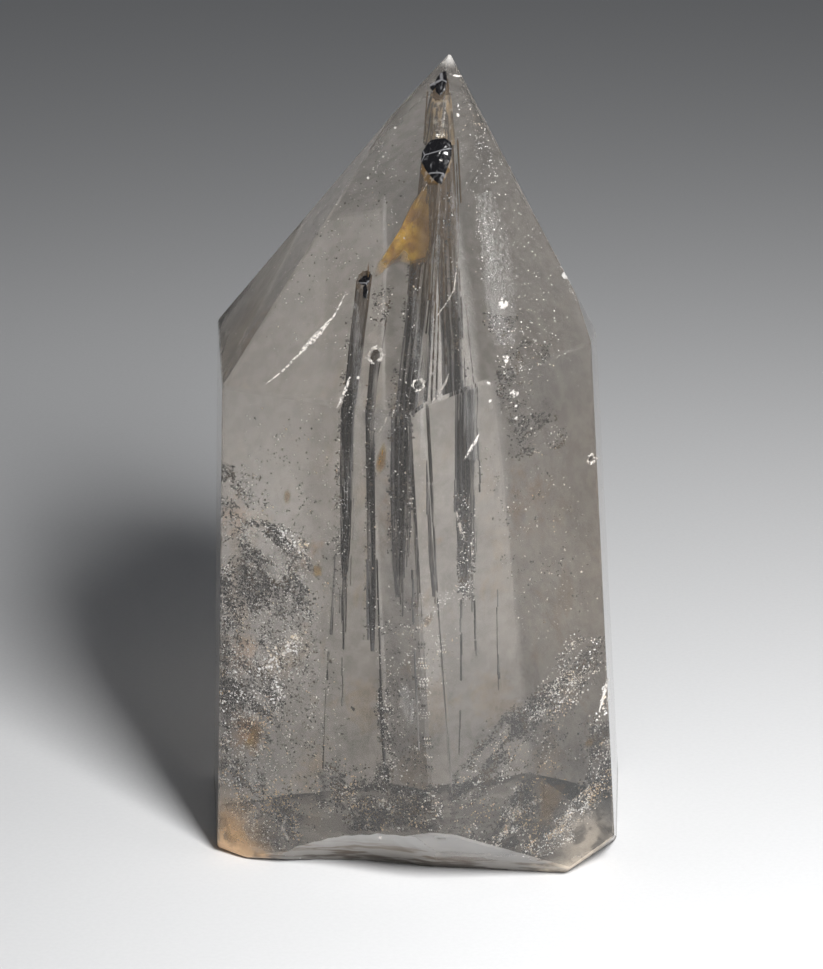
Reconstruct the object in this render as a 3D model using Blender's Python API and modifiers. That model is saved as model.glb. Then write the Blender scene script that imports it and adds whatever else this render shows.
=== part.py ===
"""Tourmalinated quartz: a clear quartz crystal, ground and polished as a six-sided point that stands on its cut base.

Black tourmaline crystals run down inside it. Each one comes out at a polished face, where it is ground off flush,
and lies in a close channel of its own. Sizes are in metres, angles in degrees. +Z is up and the front edge faces -Y.
"""
from collections import namedtuple
import math

import bmesh
import bpy
from mathutils import Vector

# Driving dimensions
BLOCK = 0.12             # side of the rough cube that the facets are ground on
EDGE_WEAR = 0.00025      # width of the worn edges between facets
SHORT_EDGE = 0.0006      # facet edges shorter than this run together in one corner
CHANNEL_GAP = 0.0003     # between a tourmaline crystal and the quartz around it
PROUD_LENGTH = 0.006     # rough length of a rod above the face that it is ground off at
FLUTES = 12              # lengthwise grooves around a rod
FLUTE_DEPTH = 0.05       # of a rod's radius
TRIANGLE_SHARE = 0.06    # how far a rod's section leans from a circle towards a triangle
CHANNEL_SIDES = 14

# A facet's azimuth turns from -Y towards +X, its rise is how far it faces up, and its reach is its plane's distance
# from the middle of the base.
Facet = namedtuple("Facet", "azimuth rise reach")

SIDE_FACETS = {
    "front right": Facet(24.5, 3.5, 0.0281),
    "front strip": Facet(1.7, 2.2, 0.0287),
    "front left": Facet(-26.1, 0.5, 0.0247),
    "left": Facet(-85.7, 1.5, 0.0264),
    "back left": Facet(-150.0, -0.5, 0.0215),
    "back right": Facet(141.0, 4.5, 0.0264),
    "right": Facet(86.2, 3.6, 0.0262),
}
TIP_FACETS = {
    "front left tip": Facet(-25.7, 34.8, 0.0551),
    "front right tip": Facet(16.6, 34.1, 0.0564),
    "left tip": Facet(-106.5, 40.5, 0.0621),
    "left shoulder": Facet(-83.4, 35.6, 0.0566),
    "right tip": Facet(94.7, 27.3, 0.0495),
    "right shoulder": Facet(90.0, 18.9, 0.0418),
    "back left tip": Facet(-152.0, 38.0, 0.0612),
    "back right tip": Facet(146.0, 40.0, 0.0670),
}
BASE_CHIPS = {
    "front chip": Facet(-6.1, -47.0, 0.0128),
    "right corner chip": Facet(56.0, -45.0, 0.0191),
    "left corner chip": Facet(-43.0, -40.0, 0.0206),
}

# A shell-shaped hollow deepens the left half of the front chip, and a small one nicks the right front edge.
Hollow = namedtuple("Hollow", "deepest facing depth radius")
HOLLOWS = {
    "front_chip_hollow": Hollow(Vector((-0.0075, -0.0215, 0.0033)), BASE_CHIPS["front chip"], 0.0010, 0.045),
    "edge_nick": Hollow(Vector((0.0236, -0.0185, 0.0250)), Facet(52.0, 5.0, 0.0), 0.0006, 0.004),
}

# A rod runs from the face where it comes out down to its foot. Its girth is its radius at shares of its length.
Rod = namedtuple("Rod", "mouth foot girth")
RODS = {
    "tourmaline_long_rod": Rod(
        mouth=Vector((0.0029, -0.0017, 0.0962)),
        foot=Vector((0.0019, -0.0015, 0.0330)),
        girth=((0.0, 0.00085), (0.25, 0.00120), (0.75, 0.00125), (0.93, 0.00080), (1.0, 0.00030)),
    ),
    "tourmaline_ridge_stub": Rod(
        mouth=Vector((0.0023, -0.0076, 0.0882)),
        foot=Vector((0.0021, -0.0073, 0.0750)),
        girth=((0.0, 0.00190), (0.45, 0.00180), (0.75, 0.00120), (1.0, 0.00035)),
    ),
    "tourmaline_left_rod": Rod(
        mouth=Vector((-0.0065, -0.0137, 0.0749)),
        foot=Vector((-0.0068, -0.0104, 0.0370)),
        girth=((0.0, 0.00095), (0.60, 0.00085), (0.90, 0.00060), (1.0, 0.00025)),
    ),
    "tourmaline_front_rod": Rod(
        mouth=Vector((-0.0051, -0.0202, 0.0673)),
        foot=Vector((-0.0046, -0.0196, 0.0300)),
        girth=((0.0, 0.00055), (0.80, 0.00050), (1.0, 0.00025)),
    ),
}


def clear_scene():
    for item in list(bpy.data.objects):
        bpy.data.objects.remove(item)


def new_collection(name):
    collection = bpy.data.collections.new(name)
    bpy.context.scene.collection.children.link(collection)
    return collection


def move_to(item, collection):
    for old in list(item.users_collection):
        old.objects.unlink(item)
    collection.objects.link(item)


def hide_as_guide(item):
    item.hide_render = True
    item.display_type = "WIRE"


def make_material(name, color, roughness, transmission=0.0):
    material = bpy.data.materials.new(name)
    material.use_nodes = True
    shader = material.node_tree.nodes["Principled BSDF"]
    shader.inputs["Base Color"].default_value = (*color, 1.0)
    shader.inputs["Roughness"].default_value = roughness
    shader.inputs["Metallic"].default_value = 0.0
    shader.inputs["IOR"].default_value = 1.544
    shader.inputs["Transmission Weight"].default_value = transmission
    return material


def facing(facet):
    """Outward unit normal of a facet."""
    azimuth = math.radians(facet.azimuth)
    rise = math.radians(facet.rise)
    return Vector((math.sin(azimuth) * math.cos(rise), -math.cos(azimuth) * math.cos(rise), math.sin(rise)))


def grind(mesh, facet):
    """Cut away all that lies outside a facet's plane and close the cut with the new face."""
    normal = facing(facet)
    everything = mesh.verts[:] + mesh.edges[:] + mesh.faces[:]
    cut = bmesh.ops.bisect_plane(
        mesh, geom=everything, plane_co=normal * facet.reach, plane_no=normal, clear_outer=True
    )
    rim = [part for part in cut["geom_cut"] if isinstance(part, bmesh.types.BMEdge)]
    bmesh.ops.contextual_create(mesh, geom=rim)


def add_boolean(item, operation, other):
    boolean = item.modifiers.new(f"{operation.title()} {other.name}", "BOOLEAN")
    boolean.operation = operation
    boolean.solver = "EXACT"
    boolean.object = other


def make_hollow_cutter(name, hollow, collection):
    """A ball that reaches to the hollow's depth below its facet."""
    centre = hollow.deepest + facing(hollow.facing) * (hollow.radius - hollow.depth)
    bpy.ops.mesh.primitive_uv_sphere_add(segments=56, ring_count=28, radius=hollow.radius, location=centre)
    ball = bpy.context.object
    ball.name = name
    move_to(ball, collection)
    hide_as_guide(ball)
    return ball


def make_stone(name, collection, hollow_cutters):
    """The ground and chipped stone, before any channel is opened in it."""
    bpy.ops.mesh.primitive_cube_add(size=BLOCK, location=(0.0, 0.0, BLOCK / 2))
    stone = bpy.context.object
    bpy.ops.object.transform_apply(location=True)
    stone.name = name
    mesh = bmesh.new()
    mesh.from_mesh(stone.data)
    for group in (SIDE_FACETS, TIP_FACETS, BASE_CHIPS):
        for facet in group.values():
            grind(mesh, facet)
    bmesh.ops.remove_doubles(mesh, verts=mesh.verts[:], dist=SHORT_EDGE)
    bmesh.ops.recalc_face_normals(mesh, faces=mesh.faces[:])
    mesh.to_mesh(stone.data)
    mesh.free()
    move_to(stone, collection)
    wear = stone.modifiers.new("Edge wear", "BEVEL")
    wear.width = EDGE_WEAR
    wear.segments = 1
    wear.limit_method = "ANGLE"
    wear.angle_limit = math.radians(5)
    for cutter in hollow_cutters:
        add_boolean(stone, "DIFFERENCE", cutter)
    return stone


def lengthwise(mesh, rings, top_z, section, sides):
    """Skin a body down -Z through rings of (depth, radius), each shaped by the section's factor at an angle."""
    loops = []
    for depth, radius in rings:
        ring = bmesh.ops.create_circle(mesh, segments=sides, radius=radius)["verts"]
        for corner in ring:
            corner.co *= section(math.atan2(corner.co.y, corner.co.x))
            corner.co.z = top_z - depth
        loops.append([edge for edge in mesh.edges if all(end in ring for end in edge.verts)])
    for upper, lower in zip(loops, loops[1:]):
        bmesh.ops.bridge_loops(mesh, edges=upper + lower)
    for end in (loops[0], loops[-1]):
        bmesh.ops.contextual_create(mesh, geom=end)
    bmesh.ops.recalc_face_normals(mesh, faces=mesh.faces[:])


def tourmaline_section(angle):
    """Rounded triangle with lengthwise grooves, as a factor on the radius."""
    return 1.0 + TRIANGLE_SHARE * math.cos(3 * angle) + FLUTE_DEPTH * math.cos(FLUTES * angle)


def round_section(angle):
    return 1.0 + TRIANGLE_SHARE + FLUTE_DEPTH


def place_along(name, mesh, rod, collection):
    """Put a body that was modelled down -Z from the origin at the rod's mouth, along the rod."""
    data = bpy.data.meshes.new(name)
    mesh.to_mesh(data)
    mesh.free()
    item = bpy.data.objects.new(name, data)
    item.location = rod.mouth
    item.rotation_euler = (rod.mouth - rod.foot).to_track_quat("Z", "Y").to_euler()
    collection.objects.link(item)
    return item


def make_rod(name, rod, collection, stone_guide):
    """A fluted rod, ground off where it meets the stone's surface."""
    length = (rod.mouth - rod.foot).length
    rings = [(share * length, radius) for share, radius in rod.girth]
    rings[0] = (-PROUD_LENGTH, rings[0][1])
    mesh = bmesh.new()
    lengthwise(mesh, rings, 0.0, tourmaline_section, 2 * FLUTES)
    item = place_along(name, mesh, rod, collection)
    add_boolean(item, "INTERSECT", stone_guide)
    return item


def make_channel(name, rod, collection):
    """Cutter for the channel that the rod lies in, with the gap on all sides."""
    length = (rod.mouth - rod.foot).length
    rings = [(share * length, radius + CHANNEL_GAP) for share, radius in rod.girth]
    rings[0] = (-2 * PROUD_LENGTH, rings[0][1])
    rings[-1] = (length + CHANNEL_GAP, rings[-1][1])
    mesh = bmesh.new()
    lengthwise(mesh, rings, 0.0, round_section, CHANNEL_SIDES)
    item = place_along(name, mesh, rod, collection)
    hide_as_guide(item)
    return item


def build():
    clear_scene()
    parts = new_collection("tourmalinated_quartz")
    cutters = new_collection("cutters")
    quartz = make_material("clear_quartz", (0.93, 0.92, 0.90), 0.03, transmission=1.0)
    tourmaline = make_material("black_tourmaline", (0.012, 0.011, 0.010), 0.28)

    hollow_cutters = [make_hollow_cutter(name, hollow, cutters) for name, hollow in HOLLOWS.items()]
    guide = make_stone("stone_without_channels", cutters, hollow_cutters)
    hide_as_guide(guide)

    stone = make_stone("quartz_point", parts, hollow_cutters)
    stone.data.materials.append(quartz)
    for name, rod in RODS.items():
        channel = make_channel(f"{name}_channel", rod, cutters)
        add_boolean(stone, "DIFFERENCE", channel)
        crystal = make_rod(name, rod, parts, guide)
        crystal.data.materials.append(tourmaline)


build()
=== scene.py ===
import math

import bpy
import numpy as np
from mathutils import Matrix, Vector, noise
from mathutils.bvhtree import BVHTree


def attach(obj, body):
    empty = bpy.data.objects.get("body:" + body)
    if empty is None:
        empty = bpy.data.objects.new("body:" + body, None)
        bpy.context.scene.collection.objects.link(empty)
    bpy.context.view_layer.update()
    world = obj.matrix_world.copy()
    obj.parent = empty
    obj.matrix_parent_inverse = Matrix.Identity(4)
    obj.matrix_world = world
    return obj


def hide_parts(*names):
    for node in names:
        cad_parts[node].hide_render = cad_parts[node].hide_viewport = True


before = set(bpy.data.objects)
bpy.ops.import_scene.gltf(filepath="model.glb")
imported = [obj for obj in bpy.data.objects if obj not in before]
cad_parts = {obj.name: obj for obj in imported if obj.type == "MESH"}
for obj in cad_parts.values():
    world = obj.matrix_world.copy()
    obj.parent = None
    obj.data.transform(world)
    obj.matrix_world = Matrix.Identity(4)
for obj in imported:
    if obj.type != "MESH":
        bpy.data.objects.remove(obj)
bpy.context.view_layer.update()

MM = 0.001

# Where the stone is looked at from: a hand camera held low before the standing point, turned a little down.
# It is made first, because what lies inside the stone is put where its line of sight leads.
LOOKED_AT = Vector((-0.72, -12.31, 48.5)) * MM
LOOKING_DOWN = math.radians(18)
EYE_DISTANCE = 0.42
PICTURE_WIDTH, PICTURE_HEIGHT = 823, 969
PIXELS_PER_MM = 8.1
SENSOR = 36.0

lens = bpy.data.cameras.new("hand_camera")
lens.sensor_fit = "HORIZONTAL"
lens.sensor_width = SENSOR
lens.lens = PIXELS_PER_MM * EYE_DISTANCE / MM / PICTURE_WIDTH * SENSOR
eye = bpy.data.objects.new("hand_camera", lens)
eye.location = LOOKED_AT + Vector((0, -math.cos(LOOKING_DOWN), math.sin(LOOKING_DOWN))) * EYE_DISTANCE
eye.rotation_euler = (math.radians(90) - LOOKING_DOWN, 0, 0)
bpy.context.scene.collection.objects.link(eye)
bpy.context.scene.camera = eye
bpy.context.view_layer.update()


def sight(across, down):
    """The direction in which the eye looks through a pixel of the picture."""
    focal = PIXELS_PER_MM * EYE_DISTANCE / MM
    ray = Vector((across - PICTURE_WIDTH / 2, PICTURE_HEIGHT / 2 - down, -focal))
    return (eye.matrix_world.to_3x3() @ ray).normalized()


# The clear point: one quartz crystal, cut back to flat sides and a many-sided tip and polished by hand.
# Quartz closes round the tourmaline with no gap, so the body here fills the channels that the rods need.
# A shell-shaped chip was struck from the front of its foot, and its edges carry small nicks.
CHIP_FACING = (-6.1, -47.0)
CHIP_DEEPEST = Vector((-7.5, -21.5, 3.3)) * MM
CHIP_DEPTH = 1.0 * MM
CHIP_RADIUS = 45 * MM
CHIP_TOOL_WIDTH, CHIP_TOOL_HEIGHT, CHIP_TOOL_DEPTH = 44 * MM, 22 * MM, 9 * MM
STRUCK_ACROSS, STRUCK_UP = 16 * MM, 7 * MM
RIPPLE_PITCH = 2.3 * MM
RIPPLE_HEIGHT = 0.05 * MM
# the unevenness between the ripples: how wide its lumps are and how high
CHIP_LUMPS = ((3.1 * MM, 0.10 * MM, 0), (0.9 * MM, 0.03 * MM, 5))
EDGE_FACE_AREA = 14 * MM * MM
QUARTZ_IOR = 1.544
DEEPEST_SHARE = 0.88
FAR_INSIDE = 1.0
NICK_ROUGHNESS = 0.25
BROKEN_BELOW = 0.02 * MM
UNDERCUT_FROST = 0.55
RIDGE_WEAR, FRONT_WEAR, BACK_WEAR = 0.45, 0.1, 0.7
# how much painted shade darkens the right faces and the far left faces
RIGHT_FACET_SHADE, FAR_LEFT_FACET_SHADE = 0.25, 0.5


def only(item):
    bpy.ops.object.select_all(action="DESELECT")
    item.select_set(True)
    bpy.context.view_layer.objects.active = item


def on_all(item, operator, **settings):
    """Runs an edit-mode operator on the whole mesh of an item."""
    only(item)
    bpy.ops.object.mode_set(mode="EDIT")
    bpy.ops.mesh.select_all(action="SELECT")
    operator(**settings)
    bpy.ops.object.mode_set(mode="OBJECT")


def mark(mesh, name, values, domain="POINT"):
    """Keeps one number for each corner or face of a mesh, for its material to read."""
    mesh.attributes.new(name, "FLOAT", domain).data.foreach_set("value", values)


def facing(azimuth, rise):
    """The outward direction of a facet: azimuth from the front towards the right, rise above level."""
    turn, lift = math.radians(azimuth), math.radians(rise)
    return Vector((math.sin(turn) * math.cos(lift), -math.cos(turn) * math.cos(lift), math.sin(lift)))


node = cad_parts["quartz_point"]
stone = bpy.data.objects.new("clear_quartz_body", node.data.copy())
bpy.context.scene.collection.objects.link(stone)
only(stone)
bpy.ops.object.mode_set(mode="EDIT")
bpy.ops.mesh.select_all(action="SELECT")
bpy.ops.mesh.remove_doubles(threshold=0.001 * MM)
bpy.ops.mesh.convex_hull()
bpy.ops.mesh.select_all(action="SELECT")
bpy.ops.mesh.dissolve_limited(angle_limit=math.radians(0.6))
bpy.ops.object.mode_set(mode="OBJECT")
corners = [corner.co.copy() for corner in stone.data.vertices]
polished = BVHTree.FromPolygons(corners, [face.vertices[:] for face in stone.data.polygons])
uncut = stone.data.copy()


def meets(across, down):
    """Where a pixel's line of sight meets the polished stone: place, outward direction and the line."""
    line = sight(across, down)
    place, outward, _, _ = polished.ray_cast(eye.location, line)
    return place, outward, line


def inside(across, down, depth):
    """The place that a pixel shows when its line of sight, bent by the quartz, has gone depth metres in."""
    place, outward, line = meets(across, down)
    if place is None:
        return None
    slow = 1 / QUARTZ_IOR
    square = -outward.dot(line)
    bent = line * slow + outward * (slow * square - math.sqrt(1 - slow * slow * (1 - square * square)))
    bent.normalize()
    _, _, _, room = polished.ray_cast(place + bent * 0.01 * MM, bent)
    return place + bent * min(depth, (room or depth) * DEEPEST_SHARE)


def chip_tool():
    """The rippled dish that the chip leaves, as a closed block to cut with."""
    out = facing(*CHIP_FACING)
    along = Vector((0, 0, 1)).cross(out).normalized()
    up = out.cross(along)
    bpy.ops.mesh.primitive_grid_add(x_subdivisions=96, y_subdivisions=48, size=1)
    tool = bpy.context.object
    for vertex in tool.data.vertices:
        across, rise = vertex.co.x * CHIP_TOOL_WIDTH, vertex.co.y * CHIP_TOOL_HEIGHT
        reach = math.hypot(across, rise)
        struck = math.hypot(across - STRUCK_ACROSS, rise - STRUCK_UP)
        wave = math.sin(struck / RIPPLE_PITCH * math.tau) * RIPPLE_HEIGHT
        for width, height, seed in CHIP_LUMPS:
            wave += noise.noise(Vector((across, rise, seed)) / width) * height
        vertex.co = CHIP_DEEPEST + along * across + up * rise
        vertex.co += out * (reach * reach / 2 / CHIP_RADIUS - CHIP_DEPTH + wave)
    on_all(tool, bpy.ops.mesh.extrude_region_move, TRANSFORM_OT_translate={"value": out * CHIP_TOOL_DEPTH})
    return tool


def nick_tool(place, radius, seed):
    """A rough ball that bites a nick out of an edge."""
    bpy.ops.mesh.primitive_ico_sphere_add(subdivisions=3, radius=radius, location=place)
    tool = bpy.context.object
    for vertex in tool.data.vertices:
        vertex.co *= 1 + NICK_ROUGHNESS * noise.noise(vertex.co / radius * 1.3 + Vector((seed, 0, 0)))
    bpy.ops.object.transform_apply(location=True, rotation=True, scale=True)
    return tool


# name: pixel where the nick shows, its radius and how deep it bites, in millimetres
NICKS = {
    "right front edge": (609, 667, 1.6, 0.55),
    "right shoulder": (594, 341, 0.9, 0.25),
    "right outline high": (566, 276, 0.8, 0.25),
    "right outline low": (606, 560, 0.8, 0.20),
    "left shoulder": (221, 352, 0.8, 0.22),
    "ridge foot": (440, 838, 1.1, 0.30),
}
cutters = [chip_tool()]
for seed, (across, down, radius, bite) in enumerate(NICKS.values()):
    place, outward, _ = meets(across, down)
    cutters.append(nick_tool(place + outward * (radius - bite) * MM, radius * MM, seed))
for cutter in cutters:
    on_all(cutter, bpy.ops.mesh.normals_make_consistent, inside=False)
    only(stone)
    bpy.ops.object.modifier_add(type="BOOLEAN")
    cut = stone.modifiers[-1]
    cut.operation = "DIFFERENCE"
    cut.solver = "EXACT"
    cut.object = cutter
    bpy.ops.object.modifier_apply(modifier=cut.name)
    bpy.data.objects.remove(cutter)

wear, frost, smoke = [], [], []
for face in stone.data.polygons:
    _, _, _, below = polished.find_nearest(face.center)
    broken = below > BROKEN_BELOW
    face.use_smooth = broken
    undercut = -0.9 < face.normal.z < -0.3
    frost.append(max(float(broken), UNDERCUT_FROST * undercut))
    ridge = face.normal.z > 0.4 and abs(face.normal.x) < 0.35
    edge_wear = RIDGE_WEAR if ridge else FRONT_WEAR if face.normal.y < -0.2 else BACK_WEAR
    wear.append(edge_wear * (not broken and face.area < EDGE_FACE_AREA))
    # the mark named smoke is painted shade: right-facing faces and far left faces are darkened by their
    # direction
    far_left = face.normal.x < -0.3 and face.normal.y > 0.3
    smoke.append(RIGHT_FACET_SHADE if face.normal.x > 0.8 else FAR_LEFT_FACET_SHADE * far_left)
for name, values in (("wear", wear), ("frost", frost), ("smoke", smoke)):
    mark(stone.data, name, values, "FACE")


class Value:
    """A shader socket that takes part in arithmetic: each operation adds its own Math node."""

    def __init__(self, tree, socket):
        self.tree = tree
        self.socket = socket

    def maths(self, operation, *others):
        made = self.tree.nodes.new("ShaderNodeMath")
        made.operation = operation
        for place, item in enumerate((self, *others)):
            if isinstance(item, Value):
                self.tree.links.new(item.socket, made.inputs[place])
            else:
                made.inputs[place].default_value = item
        return Value(self.tree, made.outputs[0])

    def __add__(self, other):
        return self.maths("ADD", other)

    __radd__ = __add__

    def __mul__(self, other):
        return self.maths("MULTIPLY", other)

    __rmul__ = __mul__

    def __sub__(self, other):
        return self.maths("SUBTRACT", other)

    def __rsub__(self, other):
        return self.maths("MULTIPLY_ADD", -1.0, other)

    def between(self, none, full):
        """0 up to none and 1 from full on, with a smooth step between. full may be the lower of the two."""
        made = self.tree.nodes.new("ShaderNodeMapRange")
        made.interpolation_type = "SMOOTHSTEP"
        self.tree.links.new(self.socket, made.inputs["Value"])
        made.inputs["From Min"].default_value = none
        made.inputs["From Max"].default_value = full
        return Value(self.tree, made.outputs["Result"])


class Finish:
    """A material with one Principled shader, and a short way to add nodes to it."""

    def __init__(self, name):
        self.material = bpy.data.materials.new(name)
        self.material.use_nodes = True
        self.tree = self.material.node_tree
        self.shader = self.tree.nodes["Principled BSDF"]
        self.out = self.tree.nodes["Material Output"]

    def join(self, socket, item):
        if isinstance(item, Value):
            self.tree.links.new(item.socket, socket)
        else:
            socket.default_value = item

    def node(self, kind, settings=None, inputs=None, output=0):
        """Adds a node: its settings first, then the values or links of its sockets."""
        made = self.tree.nodes.new(kind)
        for key, setting in (settings or {}).items():
            setattr(made, key, setting)
        for key, item in (inputs or {}).items():
            self.join(made.inputs[key], item)
        return Value(self.tree, made.outputs[output])

    def feed(self, shader=None, **sockets):
        for key, item in sockets.items():
            self.join((shader or self.shader).inputs[key.replace("_", " ")], item)

    def place(self, scale=(1.0, 1.0, 1.0)):
        """Object coordinates in metres, stretched by scale."""
        where = self.node("ShaderNodeTexCoord", output=3)
        return self.node("ShaderNodeMapping", inputs={"Vector": where, "Scale": scale})

    def height(self):
        """Height above the paper in metres."""
        return self.node("ShaderNodeSeparateXYZ", inputs={"Vector": self.place()}, output=2)

    def rightward(self):
        """Distance to the right of the stone's middle in metres."""
        return self.node("ShaderNodeSeparateXYZ", inputs={"Vector": self.place()})

    def marked(self, name):
        """A number that mark() kept on the mesh."""
        return self.node("ShaderNodeAttribute", {"attribute_name": name}, output=2)

    def bump(self, strength, distance, relief):
        inputs = {"Strength": strength, "Distance": distance, "Height": relief}
        return self.node("ShaderNodeBump", inputs=inputs)

    def grain(self, size, detail=3.0, rough=0.55, scale=(1.0, 1.0, 1.0), twist=0.0):
        """Cloudy noise whose lumps are about size metres wide."""
        inputs = {
            "Vector": self.place(scale), "Scale": 1.0 / size, "Detail": detail,
            "Roughness": rough, "Distortion": twist,
        }
        return self.node("ShaderNodeTexNoise", inputs=inputs)

    def blend(self, amount, first, second):
        """A colour between two, by amount. A plain colour is its red, green and blue."""
        first, second = ((*item, 1.0) if isinstance(item, tuple) else item for item in (first, second))
        settings = {"data_type": "RGBA"}
        return self.node("ShaderNodeMix", settings, {0: amount, 6: first, 7: second}, output=2)

    def near(self, spot, reach, edge):
        """1 round a spot of the object, falling to 0 at reach, with its edge moved by a Value."""
        where = self.node("ShaderNodeTexCoord", output=3)
        settings = {"operation": "DISTANCE"}
        away = self.node("ShaderNodeVectorMath", settings, {0: where, 1: spot}, output=1)
        return (away + edge * reach).between(reach, reach * 0.15)

    def wear_it(self, item):
        item.data.materials.clear()
        item.data.materials.append(self.material)


CREAM, PALE_CREAM, LEFT_SHADE_GREY = (0.68, 0.665, 0.65), (0.77, 0.755, 0.74), (0.47, 0.465, 0.46)
DRIFTED_RUST, IRON_RUST, SOOT_BLACK = (0.62, 0.50, 0.36), (0.62, 0.33, 0.12), (0.10, 0.10, 0.10)
# stains and soot far inside: pixel in front of them, reach in millimetres and strength
IRON_STAINS = {
    "left foot": (232, 822, 9.0, 0.95), "left low": (256, 735, 4.5, 0.8),
    "left middle": (318, 568, 4.0, 0.5), "left edge": (224, 520, 5.0, 0.4),
    "left gleam": (250, 655, 5.0, 0.45), "right foot": (552, 800, 7.0, 0.9),
    "right low": (588, 745, 3.5, 0.7), "veil foot": (430, 618, 3.5, 0.5),
    "right haze": (516, 500, 6.0, 0.35),
}
SOOT = {
    "low middle": (350, 792, 7.0, 1.0), "low ridge": (408, 805, 7.0, 0.6),
    "right smoke": (606, 755, 5.0, 0.9), "right band": (500, 752, 5.0, 0.5),
    "left low": (238, 705, 6.0, 0.9), "left high": (268, 585, 7.0, 1.0),
    "left middle": (248, 560, 5.0, 0.5), "right high": (520, 340, 5.0, 0.5),
    "right middle": (530, 428, 4.0, 0.4), "left foot strand": (300, 825, 5.0, 0.35),
    "right foot band": (560, 835, 5.0, 0.25),
}


def spotted(finish, spots, ragged, ground):
    """Ragged round spots far behind pixels of the picture, added to what the ground has."""
    for across, down, reach, strength in spots.values():
        ground = finish.near(inside(across, down, FAR_INSIDE), reach * MM, ragged) * strength + ground
    return ground


def milky_colour(finish, dusty):
    """The colour of the milky quartz far inside: cream, sooty and rusty in drifts, greyed on the left by
    painted shade, and how sooty.
    """
    cloudy = finish.grain(18 * MM, detail=2.0)
    mottled = finish.grain(2.2 * MM, detail=3.0, rough=0.65)
    speckle = finish.grain(0.45 * MM, detail=3.0, rough=0.7)
    sooty = finish.grain(6 * MM, detail=4.0, rough=0.65, twist=0.6)
    rusty = finish.grain(8 * MM, detail=4.0, rough=0.65, twist=0.4)
    ragged = finish.grain(4.5 * MM, detail=4.0, rough=0.65) * 3.0 - 1.5
    crowded = finish.height().between(66 * MM, 18 * MM)
    leftward = finish.rightward().between(10 * MM, -2 * MM)
    color = finish.blend(cloudy.between(0.40, 0.60), CREAM, PALE_CREAM)
    # painted shade: the left side is greyed
    color = finish.blend(leftward * 0.8, color, LEFT_SHADE_GREY)
    color = finish.blend(crowded * rusty.between(0.52, 0.66) * 0.5, color, DRIFTED_RUST)
    iron = spotted(finish, IRON_STAINS, ragged, 0.0)
    color = finish.blend(iron.maths("MINIMUM", 1.0), color, IRON_RUST)
    soot = spotted(finish, SOOT, ragged, crowded * sooty.between(0.50, 0.64) * dusty)
    soot = (soot * (0.45 + speckle.between(0.47, 0.58) * 0.5)).maths("MINIMUM", 1.0)
    return finish.blend(soot, color, SOOT_BLACK), soot, mottled


# pixels at which the stained corners and the smoky shoulder show
LEFT_FOOT, RIGHT_FOOT, SHOULDER = (226, 834), (586, 842), (228, 345)
RIGHT_SIDE = Vector((30, -12, 40)) * MM
quartz = Finish("clear_quartz")
cloudy = quartz.grain(18 * MM, detail=2.0)
mottled = quartz.grain(2.2 * MM, detail=3.0, rough=0.65)
height = quartz.height()
outward = quartz.node("ShaderNodeTexCoord", output=1)
upward = quartz.node("ShaderNodeSeparateXYZ", inputs={"Vector": outward}, output=2)
underside = upward.between(-0.90, -0.98)

CLEAR, MILKY, SMOKY, IRON = (0.90, 0.87, 0.84), (0.94, 0.92, 0.90), (0.98, 0.85, 0.71), (0.92, 0.74, 0.54)
FACET_SHADE_TINT, SHOULDER_SMOKE = (0.46, 0.41, 0.36), (0.42, 0.38, 0.34)
tint = quartz.blend(cloudy.between(0.42, 0.62), CLEAR, MILKY)
right_side = quartz.near(RIGHT_SIDE, 30 * MM, mottled * 0.5 - 0.25)
tint = quartz.blend(right_side * 0.8, tint, SMOKY)
left_foot = quartz.near(meets(*LEFT_FOOT)[0], 9 * MM, mottled * 1.2 - 0.6)
right_foot = quartz.near(meets(*RIGHT_FOOT)[0], 8 * MM, mottled * 1.2 - 0.6)
tint = quartz.blend(left_foot * 0.85, tint, IRON)
# painted shade: faces marked smoke are darkened by their direction
tint = quartz.blend(quartz.marked("smoke"), tint, FACET_SHADE_TINT)
shoulder = quartz.near(meets(*SHOULDER)[0], 11 * MM, mottled * 0.8 - 0.4)
tint = quartz.blend(shoulder * 0.85, tint, SHOULDER_SMOKE)
quartz.feed(
    Base_Color=tint,
    Roughness=0.02 + mottled.between(0.45, 0.7) * 0.04 + underside * 0.3,
    IOR=QUARTZ_IOR,
    Transmission_Weight=0.965,
)
relief = cloudy * 0.6 + mottled * 0.02
quartz.feed(Normal=quartz.bump(0.5, 0.6 * MM, relief))

CHIP_GREY, CHIP_SHADE, CHIP_LOW_STREAKS = (0.52, 0.51, 0.50), (0.26, 0.235, 0.205), (0.16, 0.11, 0.07)
FOOT_CONTACT_SHADE, LEFT_CRUST, RIGHT_CRUST = (0.045, 0.038, 0.032), (0.76, 0.50, 0.29), (0.72, 0.62, 0.50)
worn = quartz.marked("wear")
struck = quartz.marked("frost")
rubbed = quartz.tree.nodes.new("ShaderNodeBsdfPrincipled")
layers = quartz.grain(1.8 * MM, detail=4.0, scale=(0.25, 0.25, 2.2))
low_down = height.between(6.2 * MM, 1.6 * MM)
# painted shade: the chip grows darker towards the paper, and brown streaks darken its lower part
chip_tint = quartz.blend(low_down * 0.65, CHIP_GREY, CHIP_SHADE)
rub_and_shade_tint = quartz.blend(layers.between(0.46, 0.56) * low_down, chip_tint, CHIP_LOW_STREAKS)
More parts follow.
